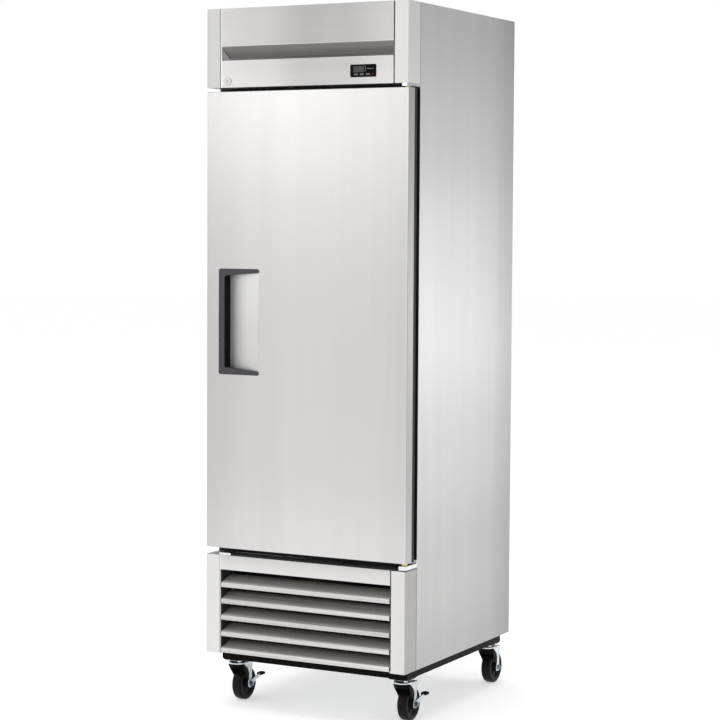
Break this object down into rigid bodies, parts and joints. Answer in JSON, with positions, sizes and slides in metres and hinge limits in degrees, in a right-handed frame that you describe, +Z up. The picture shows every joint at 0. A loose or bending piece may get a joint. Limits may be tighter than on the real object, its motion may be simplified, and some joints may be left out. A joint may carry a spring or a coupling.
{
  "type": "reach in refrigerator",
  "caption": "Upright stainless reach-in refrigerator: insulated cabinet with hinged self-closing door, wire shelves, louvred condensing unit below, on swivel casters.",
  "frame": {"origin": "on the floor, centred in width and in the whole depth from the corner trims to the trailing rear wheels", "axes": "+Z up, the door faces -Y, the hinge side is +X"},
  "size_m": [0.686, 0.789, 2.134],
  "materials": {
    "stainless": "vertical satin brushed stainless sheet",
    "galvanised": "galvanised sheet",
    "black_paint": "black powder coat",
    "black_plastic": "dark moulded plastic, fine grain",
    "grey_plastic": "dark grey extrusion",
    "gasket_rubber": "magnetic door seal",
    "smoked_glass": "smoked display window",
    "liner_aluminium": "clear coated aluminium",
    "foam": "rigid polyurethane foam",
    "zinc_steel": "bright zinc plated steel",
    "brass": "turned brass",
    "coated_wire": "grey coated steel wire",
    "motor_steel": "painted motor shell",
    "copper": "copper tube",
    "light_diffuser": "white diffuser",
    "black_tread": "black polyurethane tread on a black hub"
  },
  "bodies": {
    "cabinet": {"back_panel": "galvanised", "base_frame": "black_paint", "base_pan": "galvanised", "breaker_frame": "black_plastic", "caster_plates": "zinc_steel", "compressor": "black_paint", "condenser_coil": "liner_aluminium", "condenser_fan_motor": "motor_steel", "condenser_shroud": "galvanised", "controller_housing": "black_plastic", "controller_lens": "smoked_glass", "cord_gland": "black_plastic", "drain_pan": "grey_plastic", "evaporator_coil": "liner_aluminium", "evaporator_fan_motor": "motor_steel", "evaporator_housing": "liner_aluminium", "fasteners": "zinc_steel", "foam_insulation": "foam", "front_grille": "stainless", "grille_trims": "stainless", "header_panel": "stainless", "header_trims": "stainless", "hinge_brackets": "zinc_steel", "inner_liner": "liner_aluminium", "interior_light": "light_diffuser", "lock_barrel": "stainless", "rear_grille": "galvanised", "refrigerant_lines": "copper", "shelf_clips": "zinc_steel", "shelf_lower": "coated_wire", "shelf_middle": "coated_wire", "shelf_pilasters": "zinc_steel", "shelf_upper": "coated_wire", "side_panel_left": "stainless", "side_panel_right": "stainless", "top_panel": "stainless"},
    "door": {"door_outer_pan": "stainless", "door_foam": "foam", "door_inner_panel": "liner_aluminium", "door_edge_frame": "grey_plastic", "door_gasket": "gasket_rubber", "handle_bezel": "black_plastic", "handle_pocket": "stainless", "door_bushings": "brass"},
    "door_lock": {"lock_plug": "stainless"},
    "set_button": {"set_button": "black_plastic"},
    "down_button": {"down_button": "black_plastic"},
    "up_button": {"up_button": "black_plastic"},
    "evaporator_fan": {"evaporator_fan_blade": "black_plastic"},
    "condenser_fan": {"condenser_fan_blade": "liner_aluminium"},
    "fork_front_left": {"caster_fork_front_left": "zinc_steel"},
    "wheel_front_left": {"caster_wheel_front_left": "black_tread"},
    "brake_left": {"brake_lever_left": "zinc_steel"},
    "fork_front_right": {"caster_fork_front_right": "zinc_steel"},
    "wheel_front_right": {"caster_wheel_front_right": "black_tread"},
    "brake_right": {"brake_lever_right": "zinc_steel"},
    "fork_rear_left": {"caster_fork_rear_left": "zinc_steel"},
    "wheel_rear_left": {"caster_wheel_rear_left": "black_tread"},
    "fork_rear_right": {"caster_fork_rear_right": "zinc_steel"},
    "wheel_rear_right": {"caster_wheel_rear_right": "black_tread"}
  },
  "joints": [
    {"name": "door_hinge", "type": "hinge", "parent": "cabinet", "child": "door", "pos_m": [0.329, -0.3725, 1.189], "axis": [0, 0, 1], "range_deg": [0, 120], "stiffness_Nm_per_rad": 4, "springref_deg": -11.46},
    {"name": "lock_turn", "type": "hinge", "parent": "cabinet", "child": "door_lock", "pos_m": [-0.27, -0.3815, 1.914], "axis": [0, 1, 0], "range_deg": [0, 90]},
    {"name": "set_button_press", "type": "slide", "parent": "cabinet", "child": "set_button", "axis": [0, 1, 0], "range_m": [0, 0.0005], "stiffness_N_per_m": 300},
    {"name": "down_button_press", "type": "slide", "parent": "cabinet", "child": "down_button", "axis": [0, 1, 0], "range_m": [0, 0.0005], "stiffness_N_per_m": 300},
    {"name": "up_button_press", "type": "slide", "parent": "cabinet", "child": "up_button", "axis": [0, 1, 0], "range_m": [0, 0.0005], "stiffness_N_per_m": 300},
    {"name": "evaporator_fan_spin", "type": "hinge", "parent": "cabinet", "child": "evaporator_fan", "pos_m": [0, -0.0315, 1.972], "axis": [0, 1, 0], "continuous": true},
    {"name": "condenser_fan_spin", "type": "hinge", "parent": "cabinet", "child": "condenser_fan", "pos_m": [-0.07, -0.1715, 0.312], "axis": [0, 1, 0], "continuous": true},
    {"name": "swivel_front_left", "type": "hinge", "parent": "cabinet", "child": "fork_front_left", "pos_m": [-0.288, -0.2955, 0.127], "axis": [0, 0, 1], "continuous": true},
    {"name": "roll_front_left", "type": "hinge", "parent": "fork_front_left", "child": "wheel_front_left", "pos_m": [-0.288, -0.2575, 0.051], "axis": [1, 0, 0], "continuous": true},
    {"name": "brake_left_press", "type": "hinge", "parent": "fork_front_left", "child": "brake_left", "pos_m": [-0.288, -0.2575, 0.051], "axis": [1, 0, 0], "range_deg": [-20, 0]},
    {"name": "swivel_front_right", "type": "hinge", "parent": "cabinet", "child": "fork_front_right", "pos_m": [0.288, -0.2955, 0.127], "axis": [0, 0, 1], "continuous": true},
    {"name": "roll_front_right", "type": "hinge", "parent": "fork_front_right", "child": "wheel_front_right", "pos_m": [0.288, -0.2575, 0.051], "axis": [1, 0, 0], "continuous": true},
    {"name": "brake_right_press", "type": "hinge", "parent": "fork_front_right", "child": "brake_right", "pos_m": [0.288, -0.2575, 0.051], "axis": [1, 0, 0], "range_deg": [-20, 0]},
    {"name": "swivel_rear_left", "type": "hinge", "parent": "cabinet", "child": "fork_rear_left", "pos_m": [-0.288, 0.3055, 0.127], "axis": [0, 0, 1], "continuous": true},
    {"name": "roll_rear_left", "type": "hinge", "parent": "fork_rear_left", "child": "wheel_rear_left", "pos_m": [-0.288, 0.3435, 0.051], "axis": [1, 0, 0], "continuous": true},
    {"name": "swivel_rear_right", "type": "hinge", "parent": "cabinet", "child": "fork_rear_right", "pos_m": [0.288, 0.3055, 0.127], "axis": [0, 0, 1], "continuous": true},
    {"name": "roll_rear_right", "type": "hinge", "parent": "fork_rear_right", "child": "wheel_rear_right", "pos_m": [0.288, 0.3435, 0.051], "axis": [1, 0, 0], "continuous": true}
  ]
}
